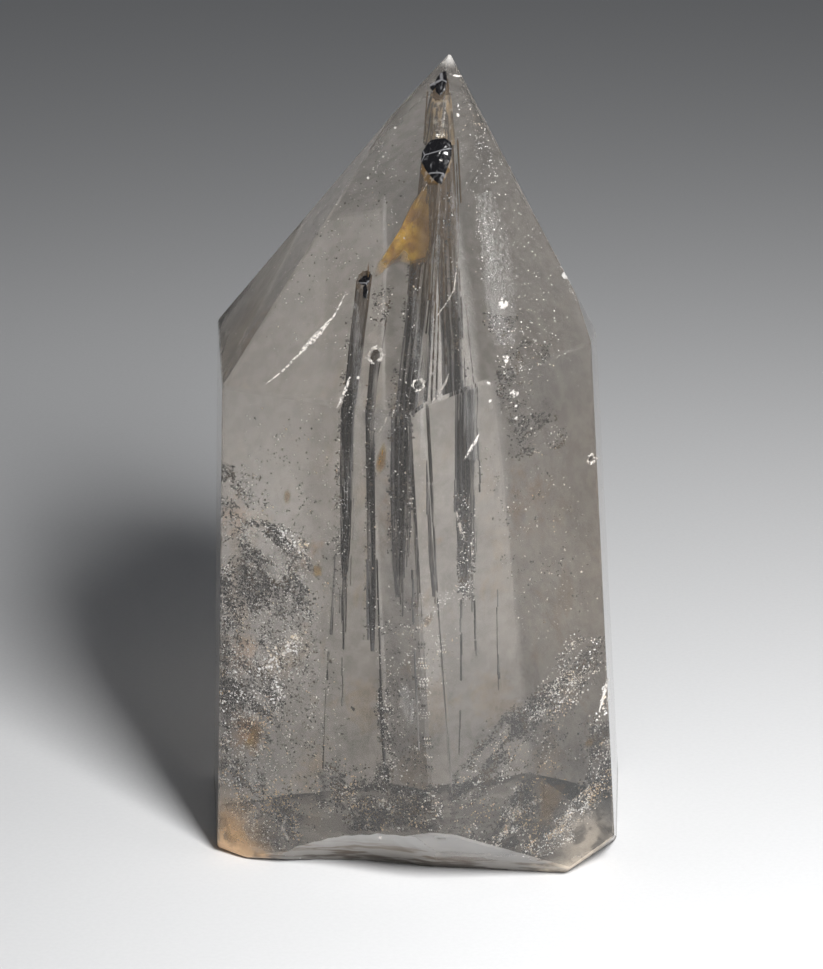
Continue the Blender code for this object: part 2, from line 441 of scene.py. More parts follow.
# painted contact shadow: a near-black band along the paper, broken by the streaks
contact_shade = height.between(3.6 * MM, 0.2 * MM) * (0.35 + layers.between(0.42, 0.54) * 0.6)
rub_and_shade_tint = quartz.blend(contact_shade, rub_and_shade_tint, FOOT_CONTACT_SHADE)
crust = (left_foot * 0.6 + right_foot * 0.5) * (0.10 + mottled.between(0.40, 0.60) * 0.50)
rub_and_shade_tint = quartz.blend(left_foot, rub_and_shade_tint, LEFT_CRUST)
rub_and_shade_tint = quartz.blend(right_foot, rub_and_shade_tint, RIGHT_CRUST)
quartz.feed(rubbed, Base_Color=rub_and_shade_tint, Roughness=0.55, IOR=QUARTZ_IOR)
dull = underside * 0.9
foot_rub = height.between(3.4 * MM, 0.6 * MM) * 0.55
tip_rub = height.between(98.0 * MM, 99.4 * MM) * 0.6
edge_rub = worn * mottled.between(0.40, 0.62) * 0.5
rub = (struck * 0.72 + edge_rub + foot_rub + tip_rub + crust) * (1.0 - underside)
milky = quartz.tree.nodes.new("ShaderNodeBsdfPrincipled")
quartz.feed(milky, Base_Color=milky_colour(quartz, 0.15)[0], Roughness=0.45, IOR=QUARTZ_IOR)


def laid_over(amount, under, over):
    """One shader partly covered by another."""
    both = quartz.tree.nodes.new("ShaderNodeMixShader")
    quartz.join(both.inputs[0], amount)
    quartz.tree.links.new(under.outputs[0], both.inputs[1])
    quartz.tree.links.new(over.outputs[0], both.inputs[2])
    return both


glassy = laid_over(dull, quartz.shader, milky)
whole = laid_over(rub.maths("MINIMUM", 0.92), glassy, rubbed)
quartz.tree.links.new(whole.outputs[0], quartz.out.inputs["Surface"])
absorb = quartz.tree.nodes.new("ShaderNodeVolumeAbsorption")
quartz.join(absorb.inputs["Color"], (0.80, 0.76, 0.71, 1.0))
quartz.join(absorb.inputs["Density"], 12.0)
quartz.tree.links.new(absorb.outputs[0], quartz.out.inputs["Volume"])
quartz.wear_it(stone)
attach(stone, "root")
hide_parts("quartz_point")


# The milky veil: clouds of the finest bubbles and dust that the quartz took in as its back part grew.
# It hangs a little inside the far faces as one crumpled sheet, and lets part of the light through.
VEIL_SHRINK = 0.93
VEIL_SINK = 0.985
VEIL_FOOT = 0.25 * MM
VEIL_THICKNESS = 0.05 * MM
VEIL_CRUMPLE = 0.8 * MM
VEIL_FADE = 5 * MM
CRUMPLE_SEED = 19


def thicken(item, thickness, offset=0.0):
    """Makes a sheet into a thin solid, on both sides of it or, at offset -1, behind it."""
    only(item)
    bpy.ops.object.modifier_add(type="SOLIDIFY")
    skin = item.modifiers[-1]
    skin.thickness = thickness
    skin.offset = offset
    bpy.ops.object.modifier_apply(modifier=skin.name)


veil = bpy.data.objects.new("milky_veil", uncut)
bpy.context.scene.collection.objects.link(veil)
only(veil)
for face in uncut.polygons:
    face.select = face.normal.y < 0.3
for item in (*uncut.vertices, *uncut.edges):
    item.select = False
bpy.ops.object.mode_set(mode="EDIT")
bpy.ops.mesh.select_mode(type="FACE")
bpy.ops.mesh.delete(type="FACE")
bpy.ops.mesh.select_all(action="SELECT")
bpy.ops.mesh.quads_convert_to_tris()
bpy.ops.mesh.subdivide(number_cuts=17)
bpy.ops.object.mode_set(mode="OBJECT")
uses = {}
for face in uncut.polygons:
    for edge in face.edge_keys:
        uses[edge] = uses.get(edge, 0) + 1
ends = [uncut.vertices[corner].co for edge, count in uses.items() if count == 1 for corner in edge]
border = np.array([end[:] for end in ends if end.z > VEIL_FOOT])
fade = []
noise.seed_set(CRUMPLE_SEED)
for vertex in uncut.vertices:
    gap = np.linalg.norm(border - np.array(vertex.co), axis=1).min()
    fade.append(min(1.0, gap / VEIL_FADE))
    vertex.co = vertex.co * Vector((VEIL_SHRINK, VEIL_SHRINK, VEIL_SINK)) + Vector((0, 0, VEIL_FOOT))
    vertex.co += noise.noise_vector(vertex.co / (9 * MM)) * VEIL_CRUMPLE
mark(uncut, "fade", fade)
bpy.ops.object.shade_smooth()
thicken(veil, VEIL_THICKNESS)
cloud_finish = Finish("milky_veil")
veil_tint, veil_soot, veil_lumps = milky_colour(cloud_finish, 0.5)
veil_fade = cloud_finish.marked("fade")
cloud_finish.feed(
    Base_Color=veil_tint,
    Roughness=0.5 + veil_lumps * 0.2,
    Alpha=veil_fade * (0.40 + veil_lumps.between(0.35, 0.65) * 0.12 + veil_soot * 0.25),
)
cloud_finish.wear_it(veil)
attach(veil, "root")


# The tourmaline rods: black prisms of rounded three-sided section, fluted along their length.
# They grew first, and the quartz closed round them; each carries threads of its own and a crust of grit.
SCHORL_IN_QUARTZ_IOR = 1.06
schorl = Finish("black_tourmaline")
flutes = schorl.grain(0.35 * MM, detail=3.0, scale=(1.0, 1.0, 0.05))
crumbs = schorl.grain(0.5 * MM, detail=4.0, rough=0.7)
BLACK, UMBER, SILVER = (0.004, 0.004, 0.004), (0.035, 0.030, 0.025), (0.34, 0.33, 0.32)
SHEEN_GREY, ROD_BROWN, GLINT_HIGHLIGHT = (0.21, 0.21, 0.22), (0.105, 0.068, 0.034), (0.40, 0.38, 0.36)
coat = schorl.blend(flutes.between(0.44, 0.60), BLACK, UMBER)
coat = schorl.blend(crumbs.between(0.66, 0.72) * 0.6, coat, SILVER)
glint_streaks = schorl.grain(0.55 * MM, detail=3.0, scale=(1.0, 1.0, 0.035))
lustre = schorl.grain(5 * MM, detail=2.0, scale=(1.0, 1.0, 0.4))
bands = schorl.grain(1.2 * MM, detail=1.0, scale=(1.0, 1.0, 0.02))
iron_brown = schorl.height().between(60 * MM, 80 * MM)
# painted sheen: grey bands along the rods
sheen_bands = bands.between(0.50, 0.60) * (0.7 - iron_brown * 0.45)
coat = schorl.blend(sheen_bands, coat, SHEEN_GREY)
coat = schorl.blend(iron_brown * 0.8, coat, ROD_BROWN)
# painted highlights: pale glints along the rods, broadest in the lustre patches
painted_glints = glint_streaks.between(0.52, 0.60) * (0.10 + lustre.between(0.42, 0.60) * 0.5) * (1.0 - iron_brown * 0.6)
coat = schorl.blend(painted_glints, coat, GLINT_HIGHLIGHT)
schorl.feed(
    Base_Color=coat,
    IOR=SCHORL_IN_QUARTZ_IOR,
    Roughness=0.22 + crumbs.between(0.4, 0.7) * 0.35,
    Normal=schorl.bump(0.6, 0.15 * MM, flutes + crumbs * 0.4),
)
for name in ("tourmaline_long_rod", "tourmaline_ridge_stub", "tourmaline_left_rod", "tourmaline_front_rod"):
    schorl.wear_it(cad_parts[name])


def pattern(item):
    """The corners and faces of a small crystal that is modelled once and then copied many times."""
    shape = np.array([vertex.co[:] for vertex in item.data.vertices])
    faces = [face.vertices[:] for face in item.data.polygons]
    bpy.data.objects.remove(item)
    return shape, faces


def strew(name, crystal, places, frames, finish):
    """One piece from many copies of a crystal: frames are 3 x 3, with the copy's axes as columns."""
    shape, faces = crystal
    places, frames = np.asarray(places), np.asarray(frames)
    corners = np.einsum("nij,vj->nvi", frames, shape) + places[:, None, :]
    starts = range(0, len(shape) * len(places), len(shape))
    rows = [tuple(start + corner for corner in face) for start in starts for face in faces]
    mesh = bpy.data.meshes.new(name)
    mesh.from_pydata(corners.reshape(-1, 3), [], rows)
    mesh.update()
    item = bpy.data.objects.new(name, mesh)
    bpy.context.scene.collection.objects.link(item)
    finish.wear_it(item)
    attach(item, "root")


def lying(direction, radius, length):
    """Axes for a copy that lies along direction."""
    along = np.asarray(direction, float)
    along = along / np.linalg.norm(along)
    aside = np.cross(along, (0.0, 1.0, 0.3))
    aside /= np.linalg.norm(aside)
    over = np.cross(along, aside)
    return np.stack([aside * radius, over * radius, along * length], axis=1)


bpy.ops.mesh.primitive_cylinder_add(vertices=5, radius=1, depth=1, end_fill_type="NGON")
thread = bpy.context.object
on_all(thread, bpy.ops.mesh.poke)
for vertex in thread.data.vertices:
    if math.hypot(vertex.co.x, vertex.co.y) < 0.5:
        vertex.co.z *= 1.12
THREAD = pattern(thread)

THREAD_LEAN = 0.006
THREAD_RADIUS = (0.05, 0.16)
# rod: its mouth and foot in millimetres, how far out its threads lie, how many, and the longest
THREADED_RODS = {
    "long": ((2.9, -1.7, 90.0), (1.9, -1.5, 26.0), 1.75, 46, 12.0),
    "left": ((-6.5, -13.5, 73.0), (-6.8, -10.4, 28.0), 0.95, 26, 12.0),
    "front": ((-5.1, -20.0, 66.0), (-4.5, -19.4, 26.0), 0.60, 18, 10.0),
}
rng = np.random.default_rng(11)
places, frames = [], []
for mouth, foot, spread, count, longest in THREADED_RODS.values():
    mouth, foot = np.array(mouth), np.array(foot)
    for _ in range(count):
        turn, share = rng.uniform(0, math.tau), rng.uniform(0.05, 1.0)
        reach = spread * rng.uniform(0.55, 1.0)
        length = longest * rng.uniform(0.25, 1.0) * (1.1 - 0.6 * share)
        middle = mouth + (foot - mouth) * share * 0.9
        middle = middle + np.array([math.cos(turn), math.sin(turn), 0.0]) * reach
        lean = (foot - mouth) / np.linalg.norm(foot - mouth) + rng.normal(0, THREAD_LEAN, 3)
        places.append(middle * MM)
        frames.append(lying(lean, rng.uniform(*THREAD_RADIUS) * MM, length * MM))
strew("tourmaline_threads", THREAD, places, frames, schorl)


# Single hairs of tourmaline that run beside the rods, some broken into short lengths while the quartz grew.
# They are set down where each shows: its upper and lower end in the picture, depth and radius.
HAIR_LENGTHS, HAIR_GAPS = (0.16, 0.45), (0.005, 0.03)
HAIR_STRAY = 0.04
HAIRS = {
    "sheath edge": ((428, 92), (424, 140), 0.4, 0.12),
    "sheath streak": ((433, 96), (431, 138), 0.4, 0.07),
    "wedge left": ((437, 235), (432, 402), 1.0, 0.12),
    "wedge middle": ((440, 255), (437, 398), 1.0, 0.10),
    "wedge right": ((443, 240), (446, 385), 1.2, 0.13),
    "front edge": ((427, 408), (437, 590), 1.2, 0.16),
    "front edge low": ((438, 600), (452, 792), 1.2, 0.09),
    "right of ridge": ((466, 305), (478, 400), 6.0, 0.10),
    "right of ridge low": ((478, 428), (480, 492), 9.0, 0.14),
    "thin right": ((497, 590), (498, 690), 9.0, 0.07),
    "dash right": ((498, 655), (499, 679), 8.0, 0.12),
    "left pair outer": ((335, 556), (331, 634), 5.0, 0.20),
    "left pair outer low": ((329, 652), (327, 680), 5.0, 0.20),
    "left pair tail": ((326, 688), (323, 768), 5.0, 0.09),
    "left pair inner": ((344, 550), (343, 648), 5.0, 0.15),
    "left pair inner low": ((342, 658), (342, 706), 5.0, 0.08),
    "front rod tail": ((367, 560), (368, 640), 3.0, 0.16),
    "behind front rod": ((377, 560), (381, 690), 5.0, 0.15),
    "behind front rod low": ((380, 690), (387, 782), 5.0, 0.30),
    "middle": ((412, 570), (413, 624), 3.0, 0.14),
    "middle low": ((415, 652), (419, 750), 3.0, 0.16),
    "bundle tail": ((461, 600), (461, 680), 7.0, 0.13),
    "bundle tail right": ((474, 600), (476, 656), 7.0, 0.14),
    "bundle tail low": ((460, 711), (459, 755), 7.0, 0.09),
    "left face": ((363, 300), (352, 412), 7.0, 0.09),
    "under film": ((390, 300), (372, 412), 8.0, 0.08),
    "film edge": ((428, 194), (425, 264), 0.7, 0.26),
    "film edge inner": ((432, 192), (429, 300), 0.9, 0.20),
}
rng = np.random.default_rng(5)
places, frames = [], []
for top, bottom, depth, radius in HAIRS.values():
    upper, lower = inside(*top, depth * MM), inside(*bottom, depth * MM)
    share = 0.0
    while share < 1.0:
        length = rng.uniform(*HAIR_LENGTHS)
        start, end = upper.lerp(lower, share), upper.lerp(lower, min(share + length, 1.0))
        shift = Vector(rng.normal(0, HAIR_STRAY, 3)) * MM
        places.append((start + end) / 2 + shift)
        frames.append(lying(end - start, radius * rng.uniform(0.75, 1.15) * MM, (end - start).length))
        share += length + rng.uniform(*HAIR_GAPS)
strew("tourmaline_hairs", THREAD, places, frames, schorl)


# Dark grit: grains of tourmaline and mica caught on old growth faces and healed cracks inside the quartz.
# Each cloud follows a curved sheet, so it thins and clumps as the sheet bends towards the eye.
DIAGONAL = 0.7071
CLUMP_SIZE, SHEET_BEND = 13, 60
GRAIN_REACH = 0.56
DARK_SIZES, PALE_SIZES = (0.08 * MM, 0.40 * MM), (0.07 * MM, 0.40 * MM)
DARK_GREY, RUSTY_BROWN = (0.030, 0.029, 0.028), (0.095, 0.070, 0.046)
bpy.ops.mesh.primitive_cylinder_add(
    vertices=4, radius=GRAIN_REACH, depth=GRAIN_REACH * 2, end_fill_type="TRIFAN"
)
grain = bpy.context.object
for corner in grain.data.vertices:
    if math.hypot(corner.co.x, corner.co.y) > 0.1:
        corner.co.z = 0.0
on_all(grain, bpy.ops.mesh.remove_doubles, threshold=0.01)
GRAIN = pattern(grain)


def tumbled(rng, count, low, high, flat=0.5):
    """Axes for copies that lie at random, low to high metres across and thinned to flat at the least."""
    spins = rng.normal(size=(count, 4))
    spins /= np.linalg.norm(spins, axis=1, keepdims=True)
    w, x, y, z = spins.T
    turns = np.stack([
        1 - 2 * (y * y + z * z), 2 * (x * y - z * w), 2 * (x * z + y * w),
        2 * (x * y + z * w), 1 - 2 * (x * x + z * z), 2 * (y * z - x * w),
        2 * (x * z - y * w), 2 * (y * z + x * w), 1 - 2 * (x * x + y * y),
    ], axis=1).reshape(-1, 3, 3)
    sizes = (low + (high - low) * rng.uniform(0, 1, (count, 1)) ** 2) * rng.uniform(flat, 1.0, (count, 3))
    return turns * sizes[:, None, :]


def course(spine):
    """A line of pixels with half widths, the steps between its pixels, and how far along each lies."""
    spine = np.array(spine, float)
    steps = np.linalg.norm(np.diff(spine[:, :2], axis=0), axis=1)
    return spine, steps, np.concatenate([[0.0], np.cumsum(steps)])


def pixel_at(spine, mileage, at):
    """Pixel and half width at a place along a course."""
    return (np.interp(at, mileage, spine[:, axis]) for axis in range(3))


def cloud(rng, spine, depths, count, clump, strand):
    """Places in a band of the picture. spine holds its pixels with half widths; depths are millimetres."""
    spine, _, mileage = course(spine)
    found = []
    seed = rng.uniform(0, 100)
    for _ in range(count * 12):
        if len(found) == count:
            break
        at = rng.uniform(0, mileage[-1])
        across, down, half = pixel_at(spine, mileage, at)
        across += rng.uniform(-1, 1) * half
        down += rng.uniform(-1, 1) * half
        ahead = (across - down) * DIAGONAL / strand[0]
        aside = (across + down) * DIAGONAL / strand[1]
        spot = Vector((ahead / CLUMP_SIZE, aside / CLUMP_SIZE, seed))
        body = noise.fractal(spot, 0.6, 2.0, 4) * 0.6 + 0.5
        if body + rng.uniform(-0.15, 0.15) < clump:
            continue
        bend = noise.noise(Vector((across / SHEET_BEND, down / SHEET_BEND, seed + 9))) * 0.5 + 0.5
        depth = depths[0] + (depths[1] - depths[0]) * bend + rng.uniform(-0.25, 0.25)
        place = inside(across, down, max(depth, 0.15) * MM)
        if place is not None:
            found.append(place)
    return found


# group and cloud: its spine (across, down, half width), depths, dark grains, pale grains, clumping
CLOUDS = {
    "left": {
        "high": (((222, 470, 8), (245, 505, 26), (235, 530, 18)), (0.8, 4.0), 820, 200, 0.48),
        "middle": (
            ((250, 528, 10), (275, 560, 30), (268, 605, 46), (262, 640, 44)),
            (1.0, 6.0), 5710, 2060, 0.46,
        ),
        "edge": (((221, 560, 7), (228, 640, 14), (226, 700, 12)), (0.6, 3.0), 1170, 390, 0.46),
        "low": (((250, 660, 36), (245, 705, 36), (240, 745, 28)), (0.8, 5.0), 3320, 1870, 0.47),
        "strand": (((228, 768, 12), (250, 805, 20), (285, 845, 22)), (0.6, 4.0), 1760, 910, 0.50),
        "second strand": (((262, 775, 12), (285, 810, 16), (305, 838, 12)), (0.6, 4.0), 780, 380, 0.48),
        "speckle": (
            ((300, 570, 20), (300, 640, 18), (298, 700, 22), (310, 760, 26)),
            (1.0, 6.0), 780, 420, 0.50,
        ),
        "face dust": (((290, 440, 50), (290, 520, 50), (290, 600, 50)), (0.8, 7.0), 390, 420, 0.52),
        "face dust low": (((280, 640, 60), (285, 740, 65), (290, 820, 50)), (0.8, 7.0), 780, 620, 0.50),
        "tip dust": (((400, 150, 20), (350, 230, 40), (300, 320, 40)), (0.8, 7.0), 160, 260, 0.50),
    },
    "foot": {
        "low middle": (
            ((325, 800, 16), (345, 782, 20), (370, 800, 18), (415, 812, 18)),
            (1.2, 7.0), 2920, 820, 0.44,
        ),
        "middle": (
            ((350, 822, 8), (395, 818, 14), (425, 800, 18), (432, 825, 12)),
            (0.8, 4.0), 2800, 640, 0.43,
        ),
        "sooty trail": (((383, 695, 7), (387, 740, 9), (384, 785, 9)), (2.0, 4.0), 930, 140, 0.40),
        "strip dust": (((400, 600, 24), (400, 700, 24), (440, 640, 22)), (0.8, 6.0), 330, 380, 0.50),
        "strip dust low": (((400, 700, 26), (410, 780, 26)), (0.8, 6.0), 480, 340, 0.48),
    },
    "right": {
        "high": (
            ((492, 322, 10), (520, 334, 16), (540, 345, 12), (515, 378, 20), (510, 398, 12)),
            (1.0, 5.0), 880, 130, 0.46,
        ),
        "middle": (
            ((508, 412, 12), (535, 425, 18), (556, 434, 12), (520, 445, 14)),
            (1.0, 5.0), 870, 110, 0.48,
        ),
        "scatter": (((500, 470, 40), (540, 520, 44), (560, 600, 40)), (1.0, 7.0), 390, 210, 0.53),
        "band": (
            ((458, 797, 11), (482, 770, 16), (508, 735, 14), (532, 710, 12)),
            (1.0, 5.0), 3640, 330, 0.42,
        ),
        "band high": (
            ((535, 710, 11), (562, 690, 15), (580, 662, 19), (588, 650, 16)),
            (0.8, 5.0), 2540, 940, 0.42,
        ),
        "low band": (((500, 850, 10), (518, 815, 15), (535, 790, 13)), (0.8, 5.0), 2300, 1070, 0.45),
        "foot band": (
            ((530, 852, 10), (556, 832, 14), (580, 805, 14), (606, 775, 10)),
            (0.6, 4.0), 2880, 1870, 0.43,
        ),
        "smoke": (((600, 725, 11), (603, 755, 13), (598, 785, 11)), (0.6, 3.0), 2340, 390, 0.36),
        "low dust": (((470, 830, 26), (520, 760, 40), (570, 730, 34)), (0.8, 6.0), 1400, 650, 0.49),
    },
    "rods": {
        "ridge bundle": (
            ((459, 498, 5), (466, 520, 9), (466, 560, 9), (466, 600, 8)),
            (0.6, 1.6), 1170, 170, 0.40,
        ),
        "right of ridge": (
            ((447, 185, 4), (449, 250, 6), (455, 330, 6), (462, 380, 8)),
            (0.6, 2.4), 470, 40, 0.46,
        ),
        "left bundle": (
            ((424, 205, 4), (415, 270, 8), (408, 330, 10), (402, 400, 13), (398, 500, 12)),
            (1.0, 4.0), 1170, 120, 0.43,
        ),
        "left bundle low": (((400, 480, 13), (399, 550, 12)), (1.0, 4.0), 550, 60, 0.44),
        "left rod crust": (
            ((350, 320, 4), (346, 400, 7), (343, 480, 8), (341, 545, 8), (340, 600, 7)),
            (1.0, 3.0), 810, 120, 0.44,
        ),
        "front rod crust": (
            ((370, 385, 4), (370, 470, 6), (370, 560, 6), (369, 640, 6)),
            (0.6, 1.4), 490, 70, 0.46,
        ),
        "under stub": (((384, 290, 10), (378, 320, 8)), (0.8, 2.0), 200, 40, 0.46),
    },
}
# how far each group's clumps are drawn out, up to the right and down to the right
STRANDS = {"left": (1.0, 2.4), "foot": (1.3, 1.3), "right": (2.4, 1.0), "rods": (1.0, 1.0)}
grit = Finish("dark_grit")
lumps = grit.grain(1.6 * MM, detail=2.0)
grit.feed(
    Base_Color=grit.blend(lumps.between(0.50, 0.66), DARK_GREY, RUSTY_BROWN),
    Roughness=0.35 + lumps.between(0.3, 0.7) * 0.3,
    Normal=grit.bump(0.4, 0.05 * MM, lumps),
)
rng = np.random.default_rng(21)
for group, clouds in CLOUDS.items():
    dark_places = []
    for spine, depths, dark, _, clump in clouds.values():
        dark_places += cloud(rng, spine, depths, dark, clump + 0.04, STRANDS[group])
    dark_frames = tumbled(rng, len(dark_places), *DARK_SIZES)
    strew("dark_grit_" + group, GRAIN, dark_places, dark_frames, grit)


# Pale grit: bubbles, scales and splinters of cracked quartz among the dark grains, some rusted by iron.
# They catch the light, so the clouds look peppered rather than black.
pale = Finish("pale_scales")
rust = pale.grain(5 * MM, detail=4.0, rough=0.7)
rusty = (rust + pale.height().between(26 * MM, 8 * MM) * 0.10).between(0.54, 0.66)
pale.feed(
    Base_Color=pale.blend(rusty, (0.95, 0.94, 0.92), (0.74, 0.55, 0.34)),
    Roughness=0.28 + rust.between(0.3, 0.7) * 0.3,
    Normal=pale.bump(0.3, 0.05 * MM, rust),
)
rng = np.random.default_rng(22)
for group, clouds in CLOUDS.items():
    pale_places = []
    for spine, depths, _, light, clump in clouds.values():
        pale_places += cloud(rng, spine, depths, light, clump, STRANDS[group])
    pale_frames = tumbled(rng, len(pale_places), *PALE_SIZES, flat=0.2)
    strew("pale_grit_" + group, GRAIN, pale_places, pale_frames, pale)


# Healed cracks: white films where the crystal split and grew together again, drawn out into thin blades.
# Silky veils of the finest fibres hang beside the rods in the same way, but let most light through; the two
# ridge lines among them are a painted highlight along the ridge edge.
# blade: its spine of pixels with half widths, and its depth in millimetres
BLADES = {
    "left_crack": (
        ((266, 384, 0.6), (284, 370, 1.0), (299, 354, 1.5), (309, 343, 3.0), (317, 336, 3.8),
         (325, 326, 2.0), (334, 316, 1.1), (340, 305, 0.9), (346, 292, 0.4)),
        -0.02,
    ),
    "spike": (((479, 434, 0.4), (475, 442, 2.0), (470, 450, 1.7), (463, 461, 0.3)), -0.02),
    "end_rim": (((423, 191, 0.3), (427, 184, 0.6), (431, 176, 0.3)), 0.1),
    "ridge_veil": (((449, 373, 0.5), (445, 384, 1.5), (438, 395, 1.3), (430, 404, 0.5)), 0.9),
    "rod_lens": (((351, 374, 0.5), (347, 386, 1.8), (343, 396, 2.0), (337, 408, 0.6)), -0.02),
    "rod_sparkle": (((388, 414, 0.5), (384, 424, 1.6), (378, 434, 0.5)), 0.15),
    "middle_smear": (((456, 510, 0.6), (459, 522, 2.2), (462, 534, 2.0), (466, 542, 0.5)), 0.15),
    "left_scales": (((281, 531, 0.6), (290, 541, 2.0), (300, 548, 2.4), (309, 556, 0.8)), 0.15),
    "foot_gleam": (((286, 815, 0.6), (283, 828, 2.4), (288, 840, 1.0)), 0.15),
    "right_gleam": (((608, 678, 0.6), (605, 690, 2.0), (602, 702, 1.4), (599, 712, 0.5)), -0.02),
    "band_gleam": (((572, 690, 0.6), (564, 700, 2.0), (556, 704, 0.6)), 0.6),
    "sheath_gleam": (((446, 100, 0.4), (445, 112, 0.9), (443, 128, 0.5)), 0.1),
    "tip_dash": (((450, 74, 0.5), (456, 76, 1.6), (462, 76, 0.6)), -0.02),
    "rod_arc": (((457, 262, 0.4), (456, 274, 0.9), (454, 290, 1.0), (445, 305, 1.0), (434, 320, 0.4)), 0.4),
}
SILK = {
    # ridge_line and ridge_line_high are a painted highlight: pale silk drawn along the ridge edge
    "ridge_line": (
        ((441, 188, 1.0), (437, 240, 1.2), (433, 300, 1.4), (431, 350, 1.2), (428, 402, 0.8)),
        0.25,
    ),
    "ridge_line_high": (((447, 60, 0.8), (444, 95, 1.4), (442, 137, 1.4)), 0.10),
    "ridge_silk": (
        ((451, 178, 2), (457, 235, 7), (463, 290, 10), (469, 345, 11), (471, 400, 10), (473, 460, 6)),
        1.6,
    ),
    "wedge_silk": (((438, 235, 2), (438, 290, 4), (437, 345, 6), (436, 400, 8)), 2.2),
    "left_silk": (((414, 290, 3), (418, 345, 6), (421, 400, 6), (424, 460, 4)), 1.4),
    "between_rods": (((356, 300, 3), (358, 380, 6), (357, 460, 6), (356, 540, 4)), 1.2),
    "low_haze": (((404, 686, 5), (408, 706, 9), (413, 724, 5)), 1.6),
    "right_haze": (((484, 192, 9), (495, 240, 15), (500, 290, 18), (504, 345, 12)), 0.4),
    "right_haze_inner": (((482, 215, 4), (490, 255, 9), (495, 300, 11), (498, 335, 6)), 0.7),
}
FILM_THICKNESS = 0.03 * MM
BLADE_RAGGEDNESS, BLADE_WAVE = 0.45, 0.12


def within(across, down, depth):
    """Like inside, but a pixel just off the outline is drawn in until it meets the stone."""
    place = inside(across, down, depth)
    while place is None:
        across += (PICTURE_WIDTH / 2 - across) * 0.01
        down += (PICTURE_HEIGHT / 2 - down) * 0.01
        place = inside(across, down, depth)
    return place


def blade(name, spine, depth, finish, length_parts=40, width_parts=6):
    """A thin film along a line of the picture. Its attribute fade thins it out at the sides."""
    bpy.ops.mesh.primitive_grid_add(x_subdivisions=length_parts, y_subdivisions=width_parts, size=1)
    item = bpy.context.object
    item.name = name
    spine, steps, mileage = course(spine)
    fade = []
    for vertex in item.data.vertices:
        at, aside = (vertex.co.x + 0.5) * mileage[-1], vertex.co.y * 2
        across, down, half = pixel_at(spine, mileage, at)
        leg = min(int(np.searchsorted(mileage, at, side="right")), len(steps)) - 1
        ahead = (spine[leg + 1, :2] - spine[leg, :2]) / steps[leg]
        ragged = 1 + BLADE_RAGGEDNESS * noise.noise(Vector((at / 5, math.copysign(3, aside), len(name))))
        across += -ahead[1] * aside * half * ragged
        down += ahead[0] * aside * half * ragged
        wave = noise.noise(Vector((across / 7, down / 7, 4))) * BLADE_WAVE
        vertex.co = within(across, down, (depth + wave * (depth > 0)) * MM)
        fade.append(1 - abs(aside) ** 3)
    mark(item.data, "fade", fade)
    thicken(item, FILM_THICKNESS)
    finish.wear_it(item)
    return item


def as_one(name, items):
    """Joins films into one piece that rides on the stone."""
    only(items[0])
    for item in items:
        item.select_set(True)
    bpy.ops.object.join()
    items[0].name = name
    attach(items[0], "root")


film = Finish("white_film")
flaw = film.grain(0.35 * MM, detail=4.0, rough=0.7)
film_fade = film.marked("fade")
film.feed(
    Base_Color=film.blend(flaw.between(0.4, 0.7), (0.80, 0.78, 0.76), (0.60, 0.55, 0.50)),
    Roughness=0.30 + flaw * 0.2,
    Alpha=film_fade * flaw.between(0.44, 0.56) * 0.95,
)
silk = Finish("silky_veil")
fibres = silk.grain(0.32 * MM, detail=4.0, rough=0.6, scale=(1.0, 1.0, 0.03))
silk_fade = silk.marked("fade")
silk.feed(
    Base_Color=silk.blend(fibres.between(0.4, 0.6), (0.66, 0.67, 0.69), (0.90, 0.91, 0.93)),
    Roughness=0.35 + fibres * 0.2,
    Alpha=silk_fade * (0.04 + fibres.between(0.38, 0.74) * 0.14),
)
as_one("healed_cracks", [blade(name, *row, film) for name, row in BLADES.items()])
veils = [blade(name, *row, silk, length_parts=60, width_parts=10) for name, row in SILK.items()]
as_one("silky_veils", veils)


